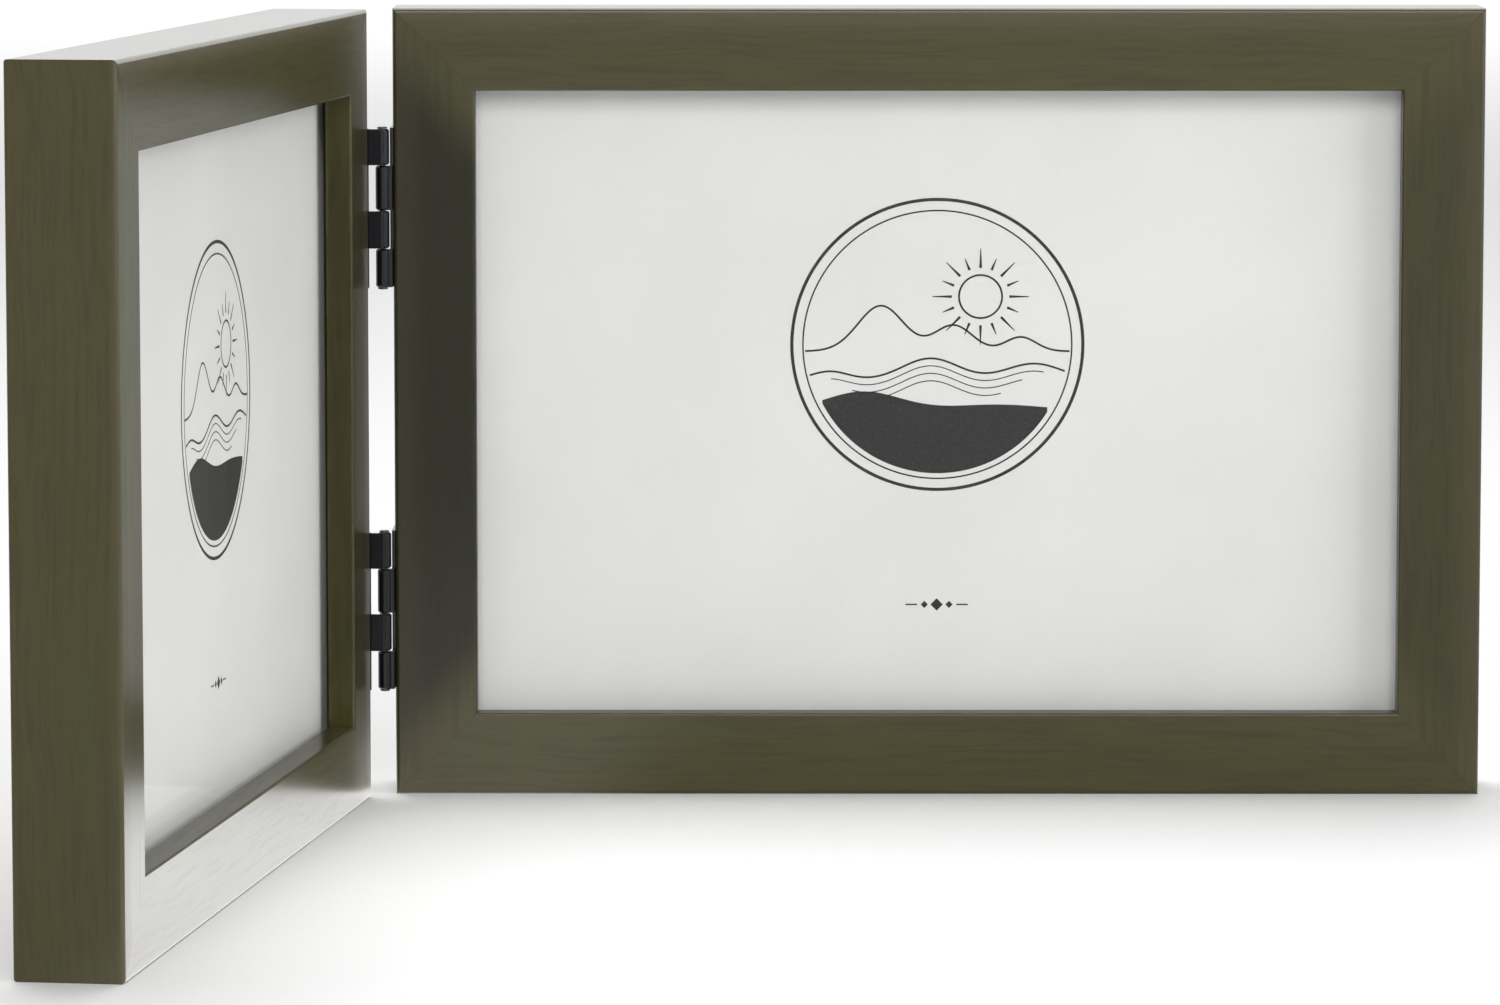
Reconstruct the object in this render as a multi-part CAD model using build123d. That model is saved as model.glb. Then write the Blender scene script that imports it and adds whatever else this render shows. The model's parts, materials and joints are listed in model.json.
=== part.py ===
from build123d import *
import os

# Hinged double photo frame: two landscape wooden frames, each with glass, a printed sheet,
# a card pad and a back board, joined edge to edge by two butt hinges.
# Millimetres. X runs along the right frame, Y from its front to its back, Z up.
# The origin is the middle of the right frame's foot.

# Picture opening and moulding
opening_length = 141.0
opening_height = 95.4
face_width = 12.5
lip_width = 6.0
lip_thickness = 4.0
outer_arris = 0.6
sight_arris = 0.35

# What lies in the rabbet, from the front to the back. The moulding is as deep as all of it.
glass_thickness = 2.0
sheet_air_gap = 0.05
sheet_thickness = 0.3
pad_thickness = 4.95
board_thickness = 3.5
board_sink = 0.2
glass_side_gap = 0.3
sheet_side_gap = 0.4
pad_side_gap = 0.6
board_side_gap = 0.35
glass_bevel = 0.2

# V nails driven into the back of each mitre, midway between its outer edges and the rabbet
nail_leg = 3.6
nail_thickness = 0.4
nail_height = 8.0
nail_sink = 0.2

# Turn buttons over the back board, and their pan head screws
button_length = 13.0
button_width = 6.0
button_thickness = 0.8
button_edge = 0.15
button_inset = 36.0
button_face_gap = 0.1
button_bore_gap = 0.08
button_screw_radius = 1.0
button_screw_length = 9.0
pan_head_radius = 2.0
pan_head_height = 1.1
pan_head_round = 0.6

# Butt hinges
hinge_length = 24.2
upper_hinge_drop = 18.1
lower_hinge_rise = 16.5
axis_to_end_face = 1.5
axis_to_front_face = 1.9
leaf_thickness = 0.45
leaf_depth = 10.8
leaf_corner = 1.0
barrel_radius = 1.05
barrel_chamfer = 0.25
bridge_width = 0.7
bridge_round = 0.3
knuckle_gap = 0.12
pin_radius = 0.45
pin_gap = 0.05
pin_head_radius = 0.75
pin_head_height = 0.25
pin_head_round = 0.15
# Heights of the knuckles from the top down, as shares of the hinge's length.
# The first and third belong to the left leaf, the others to the right leaf.
knuckle_shares = (0.231, 0.284, 0.239, 0.246)

# Countersunk screws of the leaves
leaf_screw_radius = 0.9
leaf_screw_length = 5.6
countersink_radius = 1.8
countersink_depth = 0.9
leaf_screw_spacing = 13.0
leaf_screw_depth = 6.2

# Cross recess in every screw head
recess_length = 2.0
recess_width = 0.45
recess_depth = 0.5
screw_tip_length = 1.4
screw_tip_radius = 0.2

# Fits
screw_seat_gap = 0.02
nail_seat_gap = 0.01
hole_bottom_gap = 0.3
overrun = 1.0

# The left frame's pose: degrees between the two front faces, 180 when opened flat
flat_angle = 180.0
rest_angle = 98.0

# Sizes that follow
panel_length = opening_length + 2 * face_width
panel_height = opening_height + 2 * face_width
back_width = face_width - lip_width
glass_front = lip_thickness
sheet_front = glass_front + glass_thickness + sheet_air_gap
pad_front = sheet_front + sheet_thickness
board_front = pad_front + pad_thickness
moulding_depth = board_front + board_thickness + board_sink
axis_x = -panel_length / 2 - axis_to_end_face
axis_y = -moulding_depth / 2 - axis_to_front_face
hinge_feet = {
    "upper": panel_height - upper_hinge_drop - hinge_length,
    "lower": lower_hinge_rise,
}
right_knuckles = (1, 3)
left_knuckles = (0, 2)


def block(low, high):
    """Box between two opposite corners."""
    size = [end - start for start, end in zip(low, high)]
    return Pos(*low) * Box(*size, align=(Align.MIN, Align.MIN, Align.MIN))


def rod(radius, length):
    """Cylinder that stands on the XY plane."""
    return Cylinder(radius, length, align=(Align.CENTER, Align.CENTER, Align.MIN))


def place_right(shape):
    """Move a piece from the frame's own corner to the right frame's place."""
    return Pos(-panel_length / 2, -moulding_depth / 2, 0) * shape


def place_left(shape):
    """Mirror a piece, set it on the far side of the hinge axis, and fold it to the rest angle."""
    mirrored = mirror(shape, about=Plane.YZ)
    opened_flat = Pos(axis_x - axis_to_end_face, axis_y + axis_to_front_face, 0) * mirrored
    hinge_axis = Axis((axis_x, axis_y, 0), (0, 0, 1))
    return opened_flat.rotate(hinge_axis, flat_angle - rest_angle)


def moulding_section():
    """Moulding's L section: X is the distance in from the outer edge, Y the depth from the front."""
    outline = Polyline(
        (0, 0),
        (face_width, 0),
        (face_width, lip_thickness),
        (back_width, lip_thickness),
        (back_width, moulding_depth),
        (0, moulding_depth),
        close=True,
    )
    section = make_face(outline)
    front_corner = section.vertices().sort_by_distance((0, 0, 0))[0]
    section = fillet(front_corner, outer_arris)
    back_corner = section.vertices().sort_by_distance((0, moulding_depth, 0))[0]
    section = fillet(back_corner, outer_arris)
    sight_corner = section.vertices().sort_by_distance((face_width, 0, 0))[0]
    return fillet(sight_corner, sight_arris)


def mitred_rail(length):
    """One side of a frame, lying along X on its outer edge, with a mitre at each end."""
    end_plane = Plane(origin=(length / 2, 0, 0), x_dir=(0, 0, 1), z_dir=(-1, 0, 0))
    bar = extrude(end_plane * moulding_section(), amount=length)
    mitred = Polyline(
        (-length / 2, 0),
        (length / 2, 0),
        (length / 2 - face_width, face_width),
        (face_width - length / 2, face_width),
        close=True,
    )
    prism = extrude(Plane.XZ * make_face(mitred), amount=-moulding_depth)
    return bar & prism


def v_nail(seat_gap, back):
    """V nail, or its slot, at the lower hinge-side corner, its legs square to the outer edges."""
    bend = (back_width + nail_leg) / 2
    low = bend - nail_leg - seat_gap
    inner = bend - nail_thickness - seat_gap
    outer = bend + seat_gap
    front = moulding_depth - nail_sink - nail_height - seat_gap
    stile_leg = block((low, front, inner), (outer, back, outer))
    rail_leg = block((inner, front, low), (outer, back, outer))
    return stile_leg + rail_leg


def at_corners(piece):
    """Four copies of a piece, mirrored about the frame's middle into the four corners."""
    middle_x = Plane.YZ.offset(panel_length / 2)
    middle_z = Plane.XY.offset(panel_height / 2)
    lower_outer = mirror(piece, about=middle_x)
    upper_hinge_side = mirror(piece, about=middle_z)
    upper_outer = mirror(lower_outer, about=middle_z)
    return [piece, lower_outer, upper_hinge_side, upper_outer]


def screw_recess():
    """Cross recess cut down into a screw head whose top is at Z zero."""
    arm = Box(recess_length, recess_width, recess_depth, align=(Align.CENTER, Align.CENTER, Align.MAX))
    return arm + Rot(0, 0, 90) * arm


def screw_shank(radius, length):
    """Shank that hangs down from Z zero and ends in a short point."""
    straight = Pos(0, 0, screw_tip_length - length) * rod(radius, length - screw_tip_length)
    tip = Cone(
        screw_tip_radius,
        radius,
        screw_tip_length,
        align=(Align.CENTER, Align.CENTER, Align.MIN),
    )
    return straight + Pos(0, 0, -length) * tip


def pan_screw():
    """Screw of a turn button. The underside of its head is at Z zero."""
    head = rod(pan_head_radius, pan_head_height)
    head = fillet(head.edges().group_by(Axis.Z)[-1], pan_head_round)
    head = head - Pos(0, 0, pan_head_height) * screw_recess()
    return head + screw_shank(button_screw_radius, button_screw_length)


def leaf_screw():
    """Countersunk screw of a hinge leaf. The flat top of its head is at Z zero."""
    head = Cone(
        leaf_screw_radius,
        countersink_radius,
        countersink_depth,
        align=(Align.CENTER, Align.CENTER, Align.MAX),
    )
    return head + screw_shank(leaf_screw_radius, leaf_screw_length) - screw_recess()


def leaf_screw_hole():
    """Room for a leaf screw, a seat gap larger all round, open past its top."""
    head = Cone(
        leaf_screw_radius + screw_seat_gap,
        countersink_radius + screw_seat_gap,
        countersink_depth,
        align=(Align.CENTER, Align.CENTER, Align.MAX),
    )
    mouth = rod(countersink_radius + screw_seat_gap, overrun)
    depth = leaf_screw_length + hole_bottom_gap
    return mouth + head + Pos(0, 0, -depth) * rod(leaf_screw_radius + screw_seat_gap, depth)


def into_end_face(shape, height):
    """Turn a screw or its hole to go into the hinge-side end face at a height."""
    return Pos(-leaf_thickness, leaf_screw_depth, height) * Rot(0, -90, 0) * shape


def leaf_screw_heights():
    """Heights of all the screws in one frame's hinge leaves."""
    heights = []
    for foot in hinge_feet.values():
        middle = foot + hinge_length / 2
        heights.append(middle - leaf_screw_spacing / 2)
        heights.append(middle + leaf_screw_spacing / 2)
    return heights


def button_places():
    """Each turn button's name, pivot and the direction its tip points, up 1 or down -1."""
    edge = back_width / 2
    near = button_inset
    far = panel_length - button_inset
    return {
        "lower_inner": (near, edge, 1),
        "lower_outer": (far, edge, 1),
        "upper_inner": (near, panel_height - edge, -1),
        "upper_outer": (far, panel_height - edge, -1),
    }


def turn_button(pivot_x, pivot_z, up):
    """Flat plate with round ends, bored near its heel, its tip over the back board."""
    plate = extrude(SlotOverall(button_length, button_width, rotation=90), amount=button_thickness)
    plate = chamfer(plate.edges().group_by(Axis.Z)[-1], button_edge)
    tip_side = Pos(0, button_length / 2 - button_width / 2, 0) * plate
    bored = tip_side - rod(button_screw_radius + button_bore_gap, button_thickness)
    turned = Rot(0, 0, 90 + 90 * up) * bored
    back = moulding_depth + button_face_gap
    return Pos(pivot_x, back, pivot_z) * Rot(-90, 0, 0) * turned


def button_screw(pivot_x, pivot_z):
    """Pan head screw that holds a turn button with a little play."""
    head_seat = moulding_depth + button_thickness + 2 * button_face_gap
    return Pos(pivot_x, head_seat, pivot_z) * Rot(-90, 0, 0) * pan_screw()


def button_screw_hole(pivot_x, pivot_z):
    """Pilot hole of a turn button's screw in the back of the moulding."""
    depth = button_screw_length - button_thickness - 2 * button_face_gap + hole_bottom_gap
    hole = rod(button_screw_radius + screw_seat_gap, depth + overrun)
    return Pos(pivot_x, moulding_depth - depth, pivot_z) * Rot(-90, 0, 0) * hole


def rabbet_layer(front, thickness, side_gap):
    """Flat layer that fills the rabbet apart from its side gap."""
    edge = back_width + side_gap
    low = (edge, front, edge)
    high = (panel_length - edge, front + thickness, panel_height - edge)
    return block(low, high)


def glass_pane():
    """Clear pane against the lip, with its edges dulled by a small bevel."""
    pane = rabbet_layer(glass_front, glass_thickness, glass_side_gap)
    return chamfer(pane.faces().sort_by(Axis.Y)[-1].edges(), glass_bevel)


def knuckle_spans(own):
    """Bottom and top of each of a leaf's own knuckles above the hinge's foot."""
    spans = []
    top = hinge_length
    for place, share in enumerate(knuckle_shares):
        bottom = top - share * hinge_length
        if place in own:
            spans.append((bottom + knuckle_gap / 2, top - knuckle_gap / 2))
        top = bottom
    return spans


def knuckle(bottom, top):
    """One barrel and the strip that joins it to the leaf, round a hinge axis at X and Y zero."""
    barrel = Pos(0, 0, bottom) * rod(barrel_radius, top - bottom)
    barrel = chamfer(barrel.edges(), barrel_chamfer)
    strip_face = axis_to_end_face - leaf_thickness
    front = -bridge_width / 2
    strip = block((strip_face, front, bottom), (axis_to_end_face, axis_to_front_face, top))
    wall_face = barrel_radius - leaf_thickness
    bridge = block((wall_face, front, bottom), (axis_to_end_face, -front, top))
    arm = strip + bridge
    front_edge = arm.edges().filter_by(Axis.Z).sort_by_distance((axis_to_end_face, front, bottom))[0]
    arm = fillet(front_edge, bridge_round)
    bore = Pos(0, 0, bottom) * rod(pin_radius + pin_gap, top - bottom)
    return barrel + arm - bore


def hinge_leaf(foot, own):
    """Leaf on the hinge-side end face, with its own knuckles in front of the frame."""
    face = axis_to_end_face - leaf_thickness
    back = axis_to_front_face + leaf_depth
    plate = block((face, axis_to_front_face, 0), (axis_to_end_face, back, hinge_length))
    back_edges = plate.edges().filter_by(Axis.X).group_by(Axis.Y)[-1]
    leaf = fillet(back_edges, leaf_corner)
    for bottom, top in knuckle_spans(own):
        leaf = leaf + knuckle(bottom, top)
    leaf = Pos(-axis_to_end_face, -axis_to_front_face, foot) * leaf
    for height in leaf_screw_heights():
        leaf = leaf - into_end_face(leaf_screw_hole(), height)
    return leaf


def hinge_pin(foot):
    """Pin through all the knuckles, spread into a low head at each end."""
    head = rod(pin_head_radius, pin_head_height)
    upper_head = fillet(head.edges().group_by(Axis.Z)[-1], pin_head_round)
    lower_head = fillet(head.edges().group_by(Axis.Z)[0], pin_head_round)
    shaft = rod(pin_radius, hinge_length)
    pin = shaft + Pos(0, 0, hinge_length) * upper_head + Pos(0, 0, -pin_head_height) * lower_head
    return Pos(-axis_to_end_face, -axis_to_front_face, foot) * pin


def frame_pieces():
    """Every piece of one frame, by name, at the frame's own lower hinge-side front corner."""
    long_rail = mitred_rail(panel_length)
    short_rail = mitred_rail(panel_height)
    rails = {
        "bottom_rail": Pos(panel_length / 2, 0, 0) * long_rail,
        "top_rail": Pos(panel_length / 2, 0, panel_height) * Rot(0, 180, 0) * long_rail,
        "hinge_stile": Pos(0, 0, panel_height / 2) * Rot(0, 90, 0) * short_rail,
        "outer_stile": Pos(panel_length, 0, panel_height / 2) * Rot(0, -90, 0) * short_rail,
    }
    for slot in at_corners(v_nail(nail_seat_gap, moulding_depth + overrun)):
        rails = {name: rail - slot for name, rail in rails.items()}
    for height in leaf_screw_heights():
        rails["hinge_stile"] = rails["hinge_stile"] - into_end_face(leaf_screw_hole(), height)
    pieces = {}
    button_screws = []
    for place, (pivot_x, pivot_z, up) in button_places().items():
        rail_name = "bottom_rail" if up > 0 else "top_rail"
        rails[rail_name] = rails[rail_name] - button_screw_hole(pivot_x, pivot_z)
        pieces["turn_button_" + place] = turn_button(pivot_x, pivot_z, up)
        button_screws.append(button_screw(pivot_x, pivot_z))
    pieces.update(rails)
    pieces["glass"] = glass_pane()
    pieces["insert_sheet"] = rabbet_layer(sheet_front, sheet_thickness, sheet_side_gap)
    pieces["filler_pad"] = rabbet_layer(pad_front, pad_thickness, pad_side_gap)
    pieces["back_board"] = rabbet_layer(board_front, board_thickness, board_side_gap)
    pieces["corner_v_nails"] = at_corners(v_nail(0, moulding_depth - nail_sink))
    pieces["turn_button_screws"] = button_screws
    pieces["hinge_screws"] = [into_end_face(leaf_screw(), height) for height in leaf_screw_heights()]
    return pieces


def in_place(place, piece):
    """Put a piece, or each of a group of like fasteners, in its place."""
    if isinstance(piece, list):
        return Compound(children=[place(fastener) for fastener in piece])
    return place(piece)


def all_pieces():
    """Every piece of the double frame, by its full name, in its place at rest."""
    placed = {}
    for name, piece in frame_pieces().items():
        placed["right_" + name] = in_place(place_right, piece)
        placed["left_" + name] = in_place(place_left, piece)
    for name, foot in hinge_feet.items():
        placed[name + "_hinge_right_leaf"] = place_right(hinge_leaf(foot, right_knuckles))
        placed[name + "_hinge_left_leaf"] = place_left(hinge_leaf(foot, left_knuckles))
        placed[name + "_hinge_pin"] = place_right(hinge_pin(foot))
    return placed


os.makedirs("parts", exist_ok=True)
for name, piece in all_pieces().items():
    export_step(piece, "parts/" + name + ".step")
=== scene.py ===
import json
from math import cos, pi, radians, sin

import bpy
import numpy as np
from mathutils import Matrix, Vector


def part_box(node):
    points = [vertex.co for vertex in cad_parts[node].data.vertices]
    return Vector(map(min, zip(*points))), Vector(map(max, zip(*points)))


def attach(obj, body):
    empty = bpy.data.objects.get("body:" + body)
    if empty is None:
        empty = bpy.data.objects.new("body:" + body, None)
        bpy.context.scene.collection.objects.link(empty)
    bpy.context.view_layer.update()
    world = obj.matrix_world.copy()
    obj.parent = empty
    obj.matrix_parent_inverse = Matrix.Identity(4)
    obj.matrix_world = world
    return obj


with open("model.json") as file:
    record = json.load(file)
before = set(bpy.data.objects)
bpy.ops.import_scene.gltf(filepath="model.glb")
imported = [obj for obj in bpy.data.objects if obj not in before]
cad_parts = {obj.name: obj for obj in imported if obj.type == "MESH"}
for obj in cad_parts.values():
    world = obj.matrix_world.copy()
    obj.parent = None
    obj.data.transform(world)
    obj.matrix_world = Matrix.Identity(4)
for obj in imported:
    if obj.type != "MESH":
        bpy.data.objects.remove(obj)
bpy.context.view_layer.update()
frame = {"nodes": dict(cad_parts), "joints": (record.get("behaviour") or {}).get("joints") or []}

# The two frames. Each is a flat wooden panel that stands on its lower rail, and the pair is hinged
# edge to edge and stands open like a book. A place on a panel is given from the foot of its front
# face at the hinge end: how far along it, how deep behind its front face, and how high.
mm = 0.001
up = np.array([0.0, 0.0, 1.0])
fold = next(joint for joint in frame["joints"] if joint["name"] == "frame_fold")
hinge_axis = np.array(fold["pos_m"]) * [1, 1, 0]
turned_from_flat = radians(-fold["range_deg"][0])
turn = np.array(Matrix.Rotation(turned_from_flat, 3, "Z"))
rail_low, rail_high = (np.array(corner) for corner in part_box("right_bottom_rail"))
panel_length = (rail_high - rail_low)[0]
panel_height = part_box("right_top_rail")[1].z
right_corner = rail_low * [1, 1, 0]
left_corner_opened_flat = right_corner * [-1, 1, 0] + 2 * hinge_axis * [1, 0, 0]
panels = {
    "right": (right_corner, np.array([1.0, 0.0, 0.0]), np.array([0.0, 1.0, 0.0])),
    "left": (
        hinge_axis + turn @ (left_corner_opened_flat - hinge_axis),
        turn @ [-1.0, 0.0, 0.0],
        turn @ [0.0, 1.0, 0.0],
    ),
}


def on_panel(side, along, deep, high):
    """Points of the row frame: the panel's corner, plus each distance times its own direction."""
    corner, along_way, depth_way = panels[side]
    along, deep, high = np.broadcast_arrays(along, deep, high)
    return corner + along[..., None] * along_way + deep[..., None] * depth_way + high[..., None] * up


# Rails and stiles. Square moulding of a pale close-grained hardwood, cut at 45 degrees and glued
# and nailed into a mitre at each corner, stained dark olive and finished with a satin lacquer.
# Every board carries its figure along its own length, so the grain turns the corner at the mitre.
def add_node(tree, kind, inputs=None, **settings):
    """A shader node with its settings, each named input set to a value or fed by an output."""
    node = tree.nodes.new("ShaderNode" + kind)
    for name, value in settings.items():
        setattr(node, name, value)
    for name, value in (inputs or {}).items():
        if isinstance(value, bpy.types.NodeSocket):
            tree.links.new(value, node.inputs[name])
        else:
            node.inputs[name].default_value = value
    return node


def work_out(tree, operation, *values):
    """The result of a Math node on numbers or outputs."""
    return add_node(tree, "Math", dict(enumerate(values)), operation=operation).outputs[0]


def fade(tree, value, start, end, low=0.0, high=1.0):
    """A smooth rise from low to high while a value goes from start to end."""
    inputs = {"Value": value, "From Min": start, "From Max": end, "To Min": low, "To Max": high}
    return add_node(tree, "MapRange", inputs, interpolation_type="SMOOTHSTEP").outputs["Result"]


def blend_colours(tree, share, first, second):
    """The first colour where the share is 0, the second where it is 1."""
    node = add_node(tree, "Mix", {0: share}, data_type="RGBA")
    for socket, colour in ((node.inputs[6], first), (node.inputs[7], second)):
        if isinstance(colour, bpy.types.NodeSocket):
            tree.links.new(colour, socket)
        else:
            socket.default_value = (*colour, 1.0)
    return node.outputs[2]


def noise(tree, places, size, stretch=(1.0, 1.0, 1.0), detail=2.0, roughness=0.5):
    """Noise whose lumps are about size metres across, longer along an axis with a small stretch."""
    scaled = add_node(tree, "Mapping", {"Vector": places, "Scale": [s / size for s in stretch]})
    inputs = {"Vector": scaled.outputs[0], "Scale": 1.0, "Detail": detail, "Roughness": roughness}
    return add_node(tree, "TexNoise", inputs).outputs["Fac"]


def new_group(name, inputs, outputs):
    """A shader node group with its input and output nodes, and its named sockets with defaults."""
    tree = bpy.data.node_groups.new(name, "ShaderNodeTree")
    for label, value in inputs.items():
        kind = "NodeSocketFloat" if isinstance(value, float) else "NodeSocketVector"
        socket = tree.interface.new_socket(name=label, in_out="INPUT", socket_type=kind)
        socket.default_value = value
    for label in outputs:
        tree.interface.new_socket(name=label, in_out="OUTPUT", socket_type="NodeSocketFloat")
    return tree, tree.nodes.new("NodeGroupInput").outputs, tree.nodes.new("NodeGroupOutput").inputs


def use_group(tree, group, inputs):
    """The outputs of a node group placed in a material with its own values."""
    node = tree.nodes.new("ShaderNodeGroup")
    node.node_tree = group
    for name, value in inputs.items():
        if isinstance(value, bpy.types.NodeSocket):
            tree.links.new(value, node.inputs[name])
        else:
            node.inputs[name].default_value = value
    return node.outputs


def wood_grain_group():
    """Figure of a board whose length is X: long streaks that wander, short dark pores, and slow
    clouds where the stain soaked in unevenly. Each is a noise stretched along X."""
    wander_length = 45 * mm
    wander_width = 6 * mm
    streak_stretch = (0.035, 1.0, 1.0)
    pore_stretch = (0.08, 1.0, 1.0)
    cloud_size = 30 * mm
    tree, given, result = new_group(
        "wood_grain",
        {"Vector": (0.0, 0.0, 0.0), "Streak Width": 0.7 * mm, "Pore Width": 0.16 * mm},
        ("Streak", "Pore", "Cloud"),
    )
    wander = noise(tree, given["Vector"], wander_length, (1.0, 0.5, 0.5))
    aside = work_out(tree, "MULTIPLY", wander, wander_width)
    shift = add_node(tree, "CombineXYZ", {"Y": aside, "Z": aside}).outputs[0]
    bent = add_node(tree, "VectorMath", {0: given["Vector"], 1: shift}, operation="ADD").outputs[0]
    streak_scale = work_out(tree, "DIVIDE", 1.0, given["Streak Width"])
    pore_scale = work_out(tree, "DIVIDE", 1.0, given["Pore Width"])
    long_way = add_node(tree, "Mapping", {"Vector": bent, "Scale": streak_stretch}).outputs[0]
    streak = add_node(tree, "TexNoise", {"Vector": long_way, "Scale": streak_scale,
                                         "Detail": 3.0, "Roughness": 0.6})
    short_way = add_node(tree, "Mapping", {"Vector": bent, "Scale": pore_stretch}).outputs[0]
    pore = add_node(tree, "TexNoise", {"Vector": short_way, "Scale": pore_scale, "Detail": 1.0})
    cloud = noise(tree, given["Vector"], cloud_size, (0.5, 1.0, 1.0), detail=3.0)
    tree.links.new(fade(tree, streak.outputs["Fac"], 0.42, 0.7), result["Streak"])
    tree.links.new(fade(tree, pore.outputs["Fac"], 0.6, 0.72), result["Pore"])
    tree.links.new(fade(tree, cloud, 0.32, 0.68), result["Cloud"])
    return tree


def edge_wear_group():
    """Where a sharp edge is rubbed: a rounded normal leaves the flat one near an edge, and noise
    breaks the band up."""
    tree, given, result = new_group(
        "edge_wear",
        {"Vector": (0.0, 0.0, 0.0), "Width": 0.5 * mm, "Patch Size": 2 * mm, "Amount": 0.5},
        ("Wear",),
    )
    rounded = add_node(tree, "Bevel", {"Radius": given["Width"]}, samples=6)
    flat = add_node(tree, "NewGeometry")
    alike = add_node(tree, "VectorMath", {0: rounded.outputs[0], 1: flat.outputs["Normal"]},
                     operation="DOT_PRODUCT").outputs["Value"]
    edge = fade(tree, alike, 0.985, 0.8)
    scale = work_out(tree, "DIVIDE", 1.0, given["Patch Size"])
    patches = add_node(tree, "TexNoise", {"Vector": given["Vector"], "Scale": scale, "Detail": 3.0})
    patchy = fade(tree, patches.outputs["Fac"], 0.35, 0.62, 0.25, 1.0)
    wear = work_out(tree, "MULTIPLY", work_out(tree, "MULTIPLY", edge, patchy), given["Amount"])
    tree.links.new(wear, result["Wear"])
    return tree


wood_grain = wood_grain_group()
edge_wear = edge_wear_group()


def new_material(name):
    """A node material cleared to its output, with the points of the object as Vector."""
    material = bpy.data.materials.new(name)
    material.use_nodes = True
    tree = material.node_tree
    tree.nodes.clear()
    surface = add_node(tree, "OutputMaterial").inputs["Surface"]
    places = add_node(tree, "TexCoord").outputs["Object"]
    return material, tree, surface, places


def shine(tree, surface, **inputs):
    """A Principled shader on the surface. Underscores in names stand for spaces."""
    named = {name.replace("_", " "): value for name, value in inputs.items()}
    for name, value in named.items():
        if isinstance(value, tuple):
            named[name] = (*value, 1.0)
    tree.links.new(add_node(tree, "BsdfPrincipled", named).outputs[0], surface)


def bump(tree, height, distance):
    """A normal bent by a height, of which 1 stands for distance metres."""
    return add_node(tree, "Bump", {"Height": height, "Distance": distance}).outputs[0]


black = (0.0, 0.0, 0.0)
stain_green = (0.0490, 0.0465, 0.0095)
stain_brown = (0.0560, 0.0465, 0.0130)
stain_dark_line = (0.034, 0.030, 0.007)
stain_pore = (0.022, 0.018, 0.005)
# The rubbed colour also paints the sheen band near the outer edge.
stain_rubbed_and_sheen = (0.110, 0.094, 0.055)
glue_line = (0.012, 0.011, 0.007)
glue_line_width = 0.12 * mm
glue_line_share = 0.5
streak_share = 0.65
pore_share = 0.3
pore_depth = 0.002 * mm
# Reach and lacquer loss of the darkening that is part darker stain, part painted shade.
soak_and_shade_reach = 15 * mm
soak_and_shade_lacquer_loss_share = 0.55
# Size and strength of the painted sheen band on the front near the outer edge.
sheen_band_width = 6 * mm
sheen_band_depth = 2 * mm
sheen_band_share = 0.22
unrubbed_to = 0.4 * mm
rubbed_from = 1.6 * mm
eased_width = 5.0 * mm
eased_drop = 0.32 * mm


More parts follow.
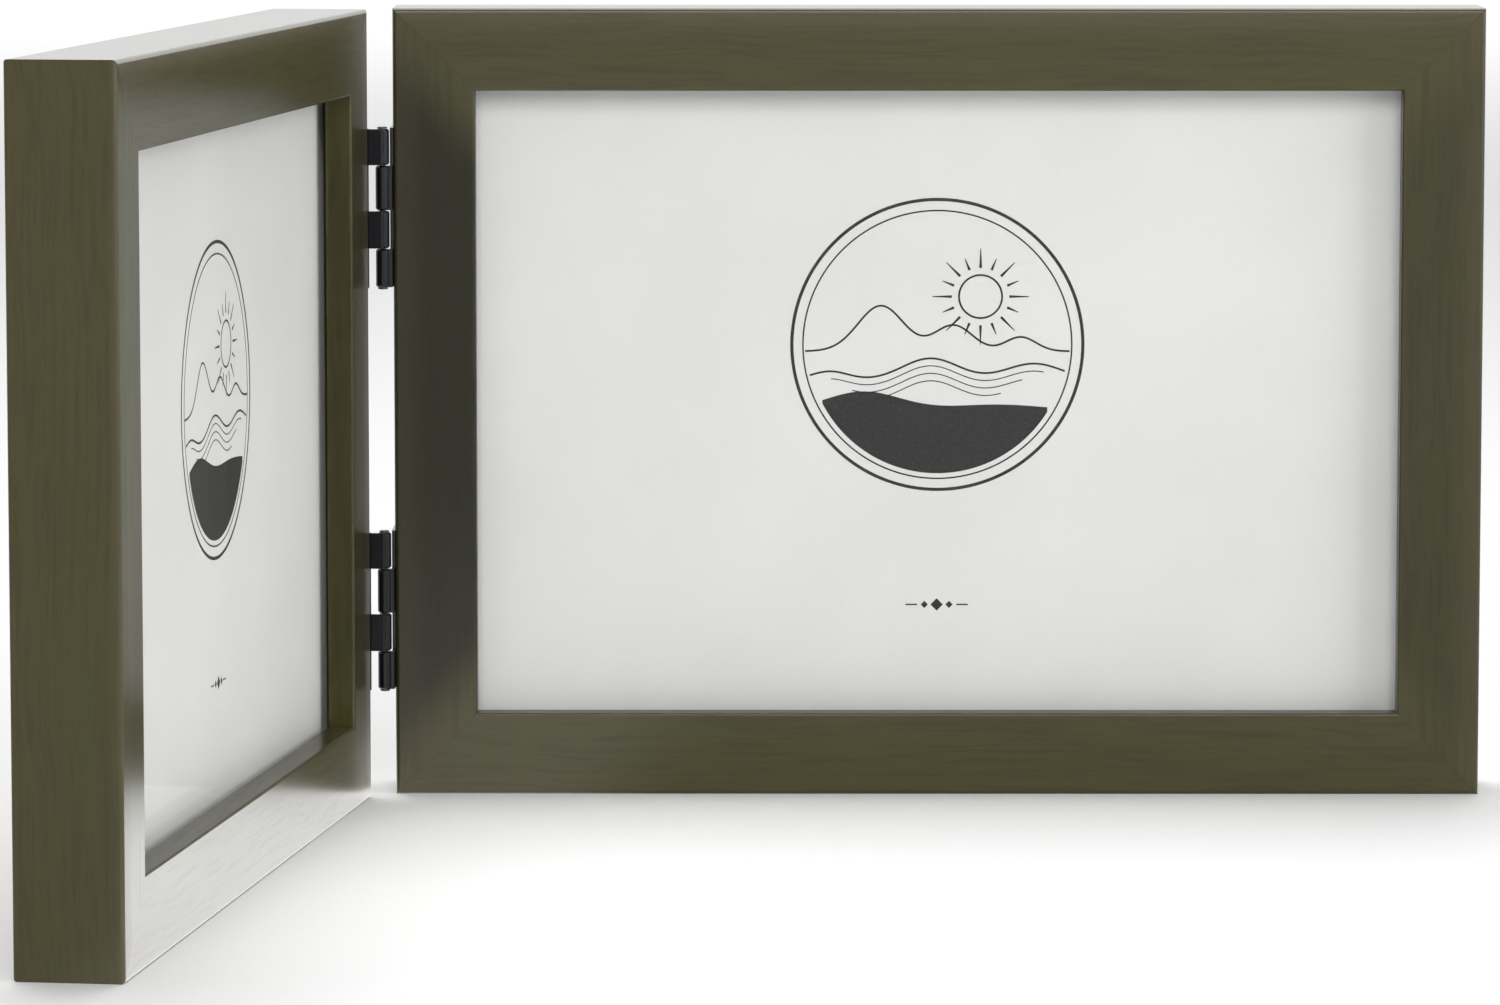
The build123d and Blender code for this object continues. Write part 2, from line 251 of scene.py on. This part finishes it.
def stained_wood(name, half_length, inward, origin, depth_way, soak_and_shade):
    """Lacquered board. Its own axes are along, deep and inward from the middle of its outer edge,
    and the mitre lines lie where the distance to the board's end equals the distance inward. Soak
    and shade is how much darker the board is made, rising from its mitre line: partly a board that
    took the stain darker, partly painted shade. The darker it is made, the thinner its lacquer is.
    Sharp edges are rubbed, though not beside the mitre line. A lighter band on the front near the
    outer edge, in the rubbed colour, is a painted sheen. Sanding eased the faces within the eased
    width of that edge: the surface drops there by the square of the way gone across that width,
    which only the gloss shows."""
    material, tree, surface, places = new_material(name)
    along = np.cross(depth_way, inward)
    own_axes = Matrix([along, depth_way, inward])
    shift = -(own_axes @ Vector(origin))
    turned = {"Vector": places, "Rotation": own_axes.to_euler(), "Location": shift}
    own = add_node(tree, "Mapping", turned).outputs[0]
    figure = use_group(tree, wood_grain, {"Vector": own})
    rubbed = use_group(tree, edge_wear, {"Vector": own, "Width": 1.2 * mm, "Patch Size": 9 * mm,
                                         "Amount": 0.6})["Wear"]
    parts = add_node(tree, "SeparateXYZ", {0: own}).outputs
    to_end = work_out(tree, "SUBTRACT", half_length, work_out(tree, "ABSOLUTE", parts["X"]))
    past_mitre = work_out(tree, "SUBTRACT", to_end, parts["Z"])
    off_mitre = work_out(tree, "ABSOLUTE", past_mitre)
    joint_line = fade(tree, off_mitre, glue_line_width, 0.0, 0.0, glue_line_share)
    # Painted shade with darker stain: the board darkens inward from its mitre line.
    darker_stain_and_shade = fade(tree, past_mitre, 0.0, soak_and_shade_reach, 0.0, soak_and_shade)
    # Painted sheen: a lighter band on the front near the outer edge.
    painted_sheen_band = work_out(tree, "MULTIPLY", fade(tree, parts["Z"], sheen_band_width, 0.0),
                       fade(tree, parts["Y"], sheen_band_depth, 0.0, 0.0, sheen_band_share))
    rubbed = work_out(tree, "MULTIPLY", rubbed, fade(tree, off_mitre, unrubbed_to, rubbed_from))
    # From here rubbed holds the painted sheen band as well as the edge wear.
    rubbed = work_out(tree, "MAXIMUM", rubbed, painted_sheen_band)
    colour = blend_colours(tree, figure["Cloud"], stain_green, stain_brown)
    streaks = work_out(tree, "MULTIPLY", figure["Streak"], streak_share)
    colour = blend_colours(tree, streaks, colour, stain_dark_line)
    pores = work_out(tree, "MULTIPLY", figure["Pore"], pore_share)
    colour = blend_colours(tree, pores, colour, stain_pore)
    colour = blend_colours(tree, darker_stain_and_shade, colour, black)
    colour = blend_colours(tree, rubbed, colour, stain_rubbed_and_sheen)
    colour = blend_colours(tree, joint_line, colour, glue_line)
    dull = work_out(tree, "MULTIPLY_ADD", figure["Streak"], 0.03, 0.29)
    sunk = work_out(tree, "MULTIPLY", figure["Pore"], -pore_depth)
    inside = work_out(tree, "MINIMUM", work_out(tree, "DIVIDE", parts["Z"], eased_width), 1.0)
    past = work_out(tree, "SUBTRACT", 1.0, inside)
    eased = work_out(tree, "MULTIPLY", work_out(tree, "MULTIPLY", past, past), -eased_drop)
    lacquer = 1.0
    # Thinner lacquer where the board is made darker, so its gloss drops with the painted shade.
    if soak_and_shade:
        lacquer = work_out(tree, "MULTIPLY_ADD", darker_stain_and_shade, -soak_and_shade_lacquer_loss_share, 1.0)
    shine(
        tree,
        surface,
        Base_Color=colour,
        Roughness=dull,
        IOR=1.2,
        Coat_Weight=lacquer,
        Coat_Roughness=0.19,
        Coat_IOR=1.35,
        Normal=bump(tree, work_out(tree, "ADD", sunk, eased), 1.0),
    )
    return material


def dress(node, material):
    """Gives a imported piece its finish."""
    for place in frame["nodes"][node].material_slots:
        place.material = material


# How much darker each stile is made, rising from its mitres: partly darker-stained boards, partly
# painted shade, strongest beside the hinge and on the right frame's outer stile.
hinge_stile_soak_and_shade = {"right": 0.72, "left": 0.3}
outer_stile_soak_and_shade = {"right": 0.28, "left": 0.05}
for side, (_, along_way, depth_way) in panels.items():
    boards = {
        "bottom_rail": (panel_length / 2, 0.0, up, panel_length, 0.0),
        "top_rail": (panel_length / 2, panel_height, -up, panel_length, 0.0),
        "hinge_stile": (0.0, panel_height / 2, along_way, panel_height,
                        hinge_stile_soak_and_shade[side]),
        "outer_stile": (panel_length, panel_height / 2, -along_way, panel_height,
                        outer_stile_soak_and_shade[side]),
    }
    for board, (along, high, inward, length, soak_and_shade) in boards.items():
        origin = on_panel(side, along, 0.0, high)
        wood = stained_wood(f"{side}_{board}_wood", length / 2, inward, origin, depth_way, soak_and_shade)
        dress(f"{side}_{board}", wood)

# Glass. A clear cut pane with dulled edges, dropped into the rabbet against the lip. It lets the
# light of the room through to the sheet behind it, and gives back a faint reflection.
def clear_glass():
    """Clear dielectric that lamps shine straight through."""
    material, tree, surface, _ = new_material("clear_glass")
    pane = add_node(tree, "BsdfPrincipled", {
        "Base Color": (0.99, 0.995, 0.99, 1.0), "Roughness": 0.0, "IOR": 1.02,
        "Transmission Weight": 1.0,
    })
    through = add_node(tree, "BsdfTransparent", {"Color": (0.985, 0.985, 0.985, 1.0)})
    rays = add_node(tree, "LightPath").outputs
    lit_through = work_out(tree, "MAXIMUM", rays["Is Shadow Ray"], rays["Is Diffuse Ray"])
    mixed = add_node(tree, "MixShader", {0: lit_through, 1: pane.outputs[0], 2: through.outputs[0]})
    tree.links.new(mixed.outputs[0], surface)
    return material


pane_glass = clear_glass()
for side in panels:
    dress(f"{side}_glass", pane_glass)

# Insert sheets. White card that comes in the frame in place of a photograph, printed in black with
# a line drawing of hills under a sun inside a double ring, and a small plain ornament below it.
sheet_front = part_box("right_insert_sheet")[0].y - right_corner[1]
card_shade = (0.715, 0.713, 0.700)
card_light = (0.760, 0.757, 0.743)
# Share by which the card is painted darker in reflections.
painted_reflection_dim_share = 0.46
ink_full = (0.010, 0.009, 0.009)
ink_thin = (0.022, 0.020, 0.019)
ink_rise = 0.02 * mm
ink_sunk = 0.01 * mm
bold_line = 0.5 * mm
plain_line = 0.3 * mm
fine_line = 0.24 * mm
hair_line = 0.16 * mm
roundel_height = 68.7 * mm
ornament_height = 28.6 * mm


def card_paper():
    """Uncoated white card: faint fibres in its tone and its surface. In what glossy surfaces mirror
    of it, the card is painted darker by a share: a painted dimmer reflection of the sheets."""
    material, tree, surface, places = new_material("printed_sheet_card")
    fibre = noise(tree, places, 0.25 * mm, (0.4, 1.0, 1.0), detail=3.0, roughness=0.7)
    broad = noise(tree, places, 30 * mm, detail=2.0)
    tone = work_out(tree, "MULTIPLY_ADD", fibre, 0.35, work_out(tree, "MULTIPLY", broad, 0.65))
    colour = blend_colours(tree, fade(tree, tone, 0.3, 0.7), card_shade, card_light)
    # Painted reflection: the card is darker only where a glossy bounce sees it.
    in_gloss = work_out(tree, "MINIMUM", add_node(tree, "LightPath").outputs["Glossy Depth"], 1.0)
    painted_dim_reflection = work_out(tree, "MULTIPLY", in_gloss, painted_reflection_dim_share)
    colour = blend_colours(tree, painted_dim_reflection, colour, black)
    shine(tree, surface, Base_Color=colour, Roughness=0.75, Specular_IOR_Level=0.3,
          Normal=bump(tree, fibre, 0.01 * mm))
    return material


def printing_ink():
    """Flat black ink, a little thin in places."""
    material, tree, surface, places = new_material("printing_ink")
    thin = noise(tree, places, 0.5 * mm, detail=2.0)
    colour = blend_colours(tree, fade(tree, thin, 0.45, 0.75), ink_full, ink_thin)
    shine(tree, surface, Base_Color=colour, Roughness=0.55, Specular_IOR_Level=0.3,
          Normal=bump(tree, thin, 0.004 * mm))
    return material


def ink_patch(first, second, closed=False):
    """Thin slab ruled between two curves of the sheet's plane, each an array of points. Four lines
    run along it, the curves at the front and again at the back, and closed joins its ends."""
    count = len(first)
    flat = np.concatenate([first, second, second, first])
    deep = np.repeat([-ink_rise, ink_sunk], 2 * count)
    here = np.arange(count if closed else count - 1)
    after = (here + 1) % count
    sides = []
    for line in range(4):
        beside = (line + 1) % 4
        sides.append(np.stack([line * count + here, line * count + after,
                               beside * count + after, beside * count + here], axis=1))
    faces = np.concatenate(sides)
    if not closed:
        start = np.arange(4) * count
        faces = np.concatenate([faces, [start, start[::-1] + count - 1]])
    return np.column_stack([flat[:, 0], deep, flat[:, 1]]), faces


def ink_line(points, width, closed=False):
    """Stroke along a curve: the curve moved half its width to either side, square to its run."""
    run = np.gradient(points, axis=0)
    if closed:
        run = np.roll(points, -1, axis=0) - np.roll(points, 1, axis=0)
    aside = np.column_stack([-run[:, 1], run[:, 0]])
    aside = aside / np.linalg.norm(aside, axis=1, keepdims=True)
    half = np.broadcast_to(width / 2, len(points))[:, None]
    return ink_patch(points + aside * half, points - aside * half, closed)


def ring(radius, width, centre=(0.0, 0.0), points=144):
    """Circle of a pen's width."""
    angle = np.linspace(0.0, 2 * pi, points, endpoint=False)
    circle = radius * np.column_stack([np.cos(angle), np.sin(angle)])
    return ink_line(np.array(centre) + circle, width, closed=True)


def roundel():
    """The whole drawing in the sheet's plane, in metres from its own centre, as slabs."""
    outer = 22.3 * mm
    inner = 20.6 * mm
    shapes = [ring(outer, bold_line), ring(inner, fine_line)]
    sun = np.array([6.6, 7.4]) * mm
    sun_radius = 3.3 * mm
    shapes.append(ring(sun_radius, plain_line, sun, 72))
    ray_start = 4.4 * mm
    ray_ends = (7.4 * mm, 6.3 * mm)
    ray_width = np.linspace(0.42, 0.12, 6) * mm
    rays = 16
    for ray in range(rays):
        angle = 2 * pi * ray / rays
        reach = np.linspace(ray_start, ray_ends[ray % 2], len(ray_width))[:, None]
        shapes.append(ink_line(sun + reach * [cos(angle), sin(angle)], ray_width))
    across = np.linspace(-1.0, 1.0, 97)
    ridge_share = 0.985

    def ridge(height, swells):
        """Hill line across the inner ring: a level plus smooth swells, each a bell curve with a
        place and a breadth as shares of the ring's radius, and a rise in millimetres."""
        reach = np.sqrt(1 - (height / inner) ** 2)
        places = across * reach * ridge_share
        line = np.full_like(places, height)
        for centre, breadth, rise in swells:
            line = line + rise * mm * np.exp(-((places - centre) / breadth) ** 2)
        return np.column_stack([places * inner, line])

    far = ridge(-1.0 * mm, ((-0.42, 0.24, 7.0), (0.12, 0.2, 4.0), (0.62, 0.16, 2.2)))
    middle = ridge(-5.5 * mm, ((-0.05, 0.3, 3.4), (0.72, 0.3, 2.6), (-0.8, 0.2, 1.4)))
    near = ridge(-10.2 * mm, ((-0.55, 0.4, 3.0), (0.45, 0.5, 1.0)))
    shapes.append(ink_line(far, plain_line))
    shapes.append(ink_line(middle, plain_line))
    line_step = 1.15 * mm
    for step in (1, 2, 3):
        below = middle - [0.0, step * line_step]
        shapes.append(ink_line(below[8 * step:-8 * step], hair_line))
    rim_gap = 0.8 * mm
    least_fill = 0.05 * mm
    rim = inner - rim_gap
    near = near[np.abs(near[:, 0]) < rim]
    foot = np.column_stack([near[:, 0], -np.sqrt(rim ** 2 - near[:, 0] ** 2)])
    inside = near[:, 1] > foot[:, 1] + least_fill
    shapes.append(ink_patch(near[inside], foot[inside]))
    return shapes


def small_ornament():
    """Three lozenges between two short rules, in the sheet's plane from its own centre."""
    lozenges = ((-1.9 * mm, 0.55 * mm), (0.0, 0.95 * mm), (1.9 * mm, 0.55 * mm))
    tip_width = 0.02 * mm
    rule_start = 3.0 * mm
    rule_end = 4.8 * mm
    rule_width = 0.22 * mm
    shapes = []
    for centre, size in lozenges:
        reach = np.linspace(-size, size, 9)
        width = (size - np.abs(reach)) * 2 + tip_width
        shapes.append(ink_line(np.column_stack([reach + centre, np.zeros(9)]), width))
    for end in (-1.0, 1.0):
        reach = np.linspace(rule_start, rule_end, 5)[:, None] * [end, 0.0]
        shapes.append(ink_line(reach, rule_width))
    return shapes


def sheet_print(side, ink):
    """The print of one sheet, standing a little proud of it, as one piece."""
    reads_along = 1.0 if side == "right" else -1.0
    drawings = ((roundel(), roundel_height), (small_ornament(), ornament_height))
    points, faces, count = [], [], 0
    for shapes, height in drawings:
        for vertices, quads in shapes:
            points.append(on_panel(
                side,
                panel_length / 2 + reads_along * vertices[:, 0],
                sheet_front + vertices[:, 1],
                height + vertices[:, 2],
            ))
            faces.append(quads[:, ::-1] + count)
            count += len(vertices)
    mesh = bpy.data.meshes.new(side + "_sheet_print")
    mesh.from_pydata(np.concatenate(points).tolist(), [], np.concatenate(faces).tolist())
    mesh.materials.append(ink)
    piece = bpy.data.objects.new(side + "_sheet_print", mesh)
    bpy.context.scene.collection.objects.link(piece)
    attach(piece, side + "_frame")


white_card = card_paper()
black_ink = printing_ink()
for side in panels:
    dress(f"{side}_insert_sheet", white_card)
    sheet_print(side, black_ink)

# Filler pads. Corrugated brown card between the sheet and the back board, which presses the sheet
# flat against the glass. Its flutes run level, from stile to stile.
liner_shade = (0.24, 0.145, 0.075)
liner_light = (0.42, 0.28, 0.16)
flute_pitch = 4.6 * mm


def corrugated_card():
    """Brown card with the flutes just showing through its liner. The wave texture turns by 20
    radians over each unit of its scaled axis, so its scale is a full turn over 20 pitches."""
    material, tree, surface, places = new_material("corrugated_card")
    fibre = noise(tree, places, 0.6 * mm, (0.2, 1.0, 1.0), detail=4.0, roughness=0.7)
    flute = add_node(tree, "TexWave", {"Vector": places, "Scale": 2 * pi / (20 * flute_pitch)},
                     wave_type="BANDS", bands_direction="Z", wave_profile="SIN").outputs["Fac"]
    tone = work_out(tree, "MULTIPLY_ADD", flute, 0.25, work_out(tree, "MULTIPLY", fibre, 0.75))
    colour = blend_colours(tree, tone, liner_shade, liner_light)
    shine(tree, surface, Base_Color=colour, Roughness=0.85, Normal=bump(tree, tone, 0.15 * mm))
    return material


brown_card = corrugated_card()
for side in panels:
    dress(f"{side}_filler_pad", brown_card)

# Back boards. Pressed wood fibre board, brown and lightly mottled, dropped into the back of the
# rabbet and held there by the turn buttons.
board_shade = (0.115, 0.066, 0.034)
board_light = (0.225, 0.140, 0.078)
board_fleck = (0.36, 0.25, 0.15)


def fibre_board():
    """Pressed board: short pale and dark fibres over a warm brown."""
    material, tree, surface, places = new_material("back_board")
    fibre = noise(tree, places, 0.8 * mm, (0.35, 1.0, 0.5), detail=5.0, roughness=0.75)
    fleck = noise(tree, places, 0.35 * mm, detail=1.0)
    cloud = noise(tree, places, 25 * mm, detail=3.0)
    tone = work_out(tree, "MULTIPLY_ADD", fibre, 0.7, work_out(tree, "MULTIPLY", cloud, 0.3))
    colour = blend_colours(tree, fade(tree, tone, 0.35, 0.65), board_shade, board_light)
    colour = blend_colours(tree, fade(tree, fleck, 0.64, 0.74, 0.0, 0.55), colour, board_fleck)
    shine(tree, surface, Base_Color=colour, Roughness=fade(tree, fibre, 0.3, 0.7, 0.5, 0.7),
          Specular_IOR_Level=0.4, Normal=bump(tree, tone, 0.06 * mm))
    return material


brown_board = fibre_board()
for side in panels:
    dress(f"{side}_back_board", brown_board)

# V nails. Thin steel strip bent to a right angle and driven into the back of each mitre, across
# the joint, so that it draws the two boards together.
steel_dull = (0.30, 0.29, 0.275)
steel_bright = (0.50, 0.49, 0.47)


def bare_steel():
    """Bright drawn steel, dulled in spots."""
    material, tree, surface, places = new_material("bare_steel")
    spots = noise(tree, places, 0.6 * mm, detail=4.0)
    colour = blend_colours(tree, fade(tree, spots, 0.35, 0.65), steel_dull, steel_bright)
    shine(tree, surface, Base_Color=colour, Metallic=1.0,
          Roughness=fade(tree, spots, 0.3, 0.7, 0.28, 0.5), Normal=bump(tree, spots, 0.01 * mm))
    return material


nail_steel = bare_steel()
for side in panels:
    dress(f"{side}_corner_v_nails", nail_steel)

# Turn buttons, hinge leaves and their screws. Stamped or turned steel with a black lacquer, which
# has a soft gloss, a fine orange peel, and is rubbed to bare metal here and there on the edges.
lacquer_black = (0.0035, 0.0037, 0.0058)
lacquer_dust = (0.030, 0.030, 0.033)
bare_metal = (0.34, 0.335, 0.33)


def black_lacquer(name, roughness, wear, patch_size):
    """Black coat over steel. Where an edge is rubbed the metal shows."""
    material, tree, surface, places = new_material(name)
    rubbed = use_group(tree, edge_wear, {"Vector": places, "Width": 0.18 * mm,
                                         "Patch Size": patch_size, "Amount": wear})["Wear"]
    peel = noise(tree, places, 0.5 * mm, detail=2.0)
    dust = noise(tree, places, 0.12 * mm, detail=1.0)
    dusty = fade(tree, dust, 0.7, 0.8, 0.0, 0.06)
    colour = blend_colours(tree, dusty, lacquer_black, lacquer_dust)
    colour = blend_colours(tree, rubbed, colour, bare_metal)
    shine(
        tree,
        surface,
        Base_Color=colour,
        Metallic=rubbed,
        Roughness=fade(tree, peel, 0.3, 0.7, roughness - 0.02, roughness + 0.03),
        Specular_IOR_Level=0.1,
        Coat_Weight=0.35,
        Coat_Roughness=0.07,
        Normal=bump(tree, peel, 0.0006 * mm),
    )
    return material


hinge_black = black_lacquer("hinge_black", 0.24, 0.3, 1.1 * mm)
button_black = black_lacquer("turn_button_black", 0.33, 0.7, 0.9 * mm)
screw_black = black_lacquer("screw_black", 0.36, 0.8, 0.5 * mm)
for side in panels:
    dress(f"{side}_turn_button_screws", screw_black)
    dress(f"{side}_hinge_screws", screw_black)
    for place in ("lower_inner", "lower_outer", "upper_inner", "upper_outer"):
        dress(f"{side}_turn_button_{place}", button_black)
for hinge in ("upper", "lower"):
    for side in panels:
        dress(f"{hinge}_hinge_{side}_leaf", hinge_black)

# Hinge pins. Drawn steel wire, pushed through the knuckles of both leaves. Its ends are spread so
# that it stays in, and it is blackened like the leaves.
pin_black = (0.035, 0.035, 0.038)
pin_drawn = (0.075, 0.074, 0.074)


def pin_steel():
    """Blackened steel whose spread ends are rubbed brighter."""
    material, tree, surface, places = new_material("hinge_pin_steel")
    rubbed = use_group(tree, edge_wear, {"Vector": places, "Width": 0.2 * mm,
                                         "Patch Size": 0.4 * mm, "Amount": 0.8})["Wear"]
    drawn = noise(tree, places, 0.15 * mm, (1.0, 1.0, 0.03), detail=2.0)
    colour = blend_colours(tree, drawn, pin_black, pin_drawn)
    colour = blend_colours(tree, rubbed, colour, bare_metal)
    shine(tree, surface, Base_Color=colour, Metallic=1.0,
          Roughness=fade(tree, drawn, 0.3, 0.7, 0.3, 0.45), Normal=bump(tree, drawn, 0.006 * mm))
    return material


blackened_pin = pin_steel()
for hinge in ("upper", "lower"):
    dress(f"{hinge}_hinge_pin", blackened_pin)

# Studio. A pale seamless floor that runs out of the picture, a soft light all round that is
# brighter behind the frames, and three large soft lamps: overhead, in front and at the right.
floor_reach = 12.0
floor_shade = (0.90, 0.90, 0.90)
floor_light = (0.92, 0.92, 0.92)
lift_starts_at = 0.6
lift_full_at = 3.0
near_lift = 0.03
far_lift = 0.7
# Place and size of the floor strip that glows in glossy bounces only, a painted reflection in the left
# frame.
strip_centre = hinge_axis + [0.0, -0.1, 0.0]
strip_half_size = np.array([0.03, 0.13, 1.0])
strip_fades_to = 1.7


def pale_floor():
    """Matt pale floor, lifted to white where it is looked at, so that only its shadows show. The
    strip along the left frame glows for glossy rays alone, though it is no lamp: a painted white
    reflection in the wood of the left frame."""
    material, tree, surface, places = new_material("floor")
    grain = noise(tree, places, 2 * mm, detail=2.0)
    colour = blend_colours(tree, grain, floor_shade, floor_light)
    away = add_node(tree, "VectorMath", {0: places}, operation="LENGTH").outputs["Value"]
    lift = fade(tree, away, lift_starts_at, lift_full_at, near_lift, far_lift)
    rays = add_node(tree, "LightPath").outputs
    strip = add_node(tree, "Mapping", {"Vector": places, "Location": -strip_centre / strip_half_size,
                                       "Scale": 1 / strip_half_size}).outputs[0]
    past_strip = add_node(tree, "VectorMath", {0: strip}, operation="LENGTH").outputs["Value"]
    in_strip = fade(tree, past_strip, 1.0, strip_fades_to, 1.0, 0.0)
    # Painted reflection: the strip glows only for glossy rays.
    painted_reflection_glow = work_out(tree, "MULTIPLY", rays["Is Glossy Ray"], in_strip)
    seen = work_out(tree, "ADD", rays["Is Camera Ray"], rays["Is Glossy Ray"])
    seen = work_out(tree, "ADD", seen, rays["Is Transmission Ray"])
    lifted = work_out(tree, "MULTIPLY_ADD", seen, lift, painted_reflection_glow)
    shine(tree, surface, Base_Color=colour, Roughness=0.9, Specular_IOR_Level=0.2,
          Emission_Color=(1.0, 1.0, 1.0), Emission_Strength=lifted)
    return material


corners = np.array([[-1, -1, 0], [1, -1, 0], [1, 1, 0], [-1, 1, 0]]) * floor_reach
floor_mesh = bpy.data.meshes.new("floor")
floor_mesh.from_pydata(corners.tolist(), [], [[0, 1, 2, 3]])
floor_mesh.materials.append(pale_floor())
floor = bpy.data.objects.new("floor", floor_mesh)
bpy.context.scene.collection.objects.link(floor)

sweep_front = 0.4
sweep_in_gloss = 1.0
sweep_in_matt = 0.38
world = bpy.data.worlds.new("studio")
bpy.context.scene.world = world
world.use_nodes = True
sky = world.node_tree
sky.nodes.clear()
rays = add_node(sky, "LightPath").outputs
towards = add_node(sky, "TexCoord").outputs["Generated"]
direction = add_node(sky, "SeparateXYZ", {0: towards}).outputs
sweep = fade(sky, direction["Y"], -0.5, 0.2, sweep_front, 1.0)
gain = sweep_in_gloss - sweep_in_matt
given = work_out(sky, "MULTIPLY_ADD", rays["Is Glossy Ray"], gain, sweep_in_matt)
seen = work_out(sky, "MAXIMUM", rays["Is Camera Ray"], rays["Is Transmission Ray"])
strength = work_out(sky, "MAXIMUM", seen, work_out(sky, "MULTIPLY", sweep, given))
ambient = add_node(sky, "Background", {"Color": (1.0, 1.0, 1.0, 1.0), "Strength": strength})
sky.links.new(ambient.outputs[0], add_node(sky, "OutputWorld").inputs["Surface"])


def soft_lamp(name, place, target, size, power):
    """Square softbox that faces its target."""
    light = bpy.data.lights.new(name, "AREA")
    light.shape = "SQUARE"
    light.size = size
    light.energy = power
    lamp = bpy.data.objects.new(name, light)
    lamp.location = place
    lamp.rotation_euler = (Vector(target) - Vector(place)).to_track_quat("-Z", "Y").to_euler()
    bpy.context.scene.collection.objects.link(lamp)


lamps_aim_at = (-0.02, -0.06, 0.06)
lamps = {
    "overhead_softbox": {"place": (-0.1, 0.4, 1.4), "size": 0.9, "power": 14.0},
    "front_softbox": {"place": (0.05, -1.9, 0.9), "size": 0.9, "power": 18.5},
    "side_softbox": {"place": (1.5, -0.9, 0.55), "size": 1.2, "power": 13.5},
}
for name, lamp in lamps.items():
    soft_lamp(name, target=lamps_aim_at, **lamp)

# Camera at the photograph's place: a long lens a little above the frames' top, nearly square to
# the right frame. Its sensor and lens are in the camera's own millimetres.
sensor_width = 36.0
lens = 172.15
camera_place = (-0.02577, -1.09714, 0.16349)
looks_down = 6.205
looks_left = 0.154
camera = bpy.data.cameras.new("camera")
camera.sensor_width = sensor_width
camera.lens = lens
eye = bpy.data.objects.new("camera", camera)
eye.location = camera_place
eye.rotation_euler = (radians(90.0 - looks_down), 0.0, radians(looks_left))
bpy.context.scene.collection.objects.link(eye)
bpy.context.scene.camera = eye
bpy.context.scene.view_settings.view_transform = "Standard"
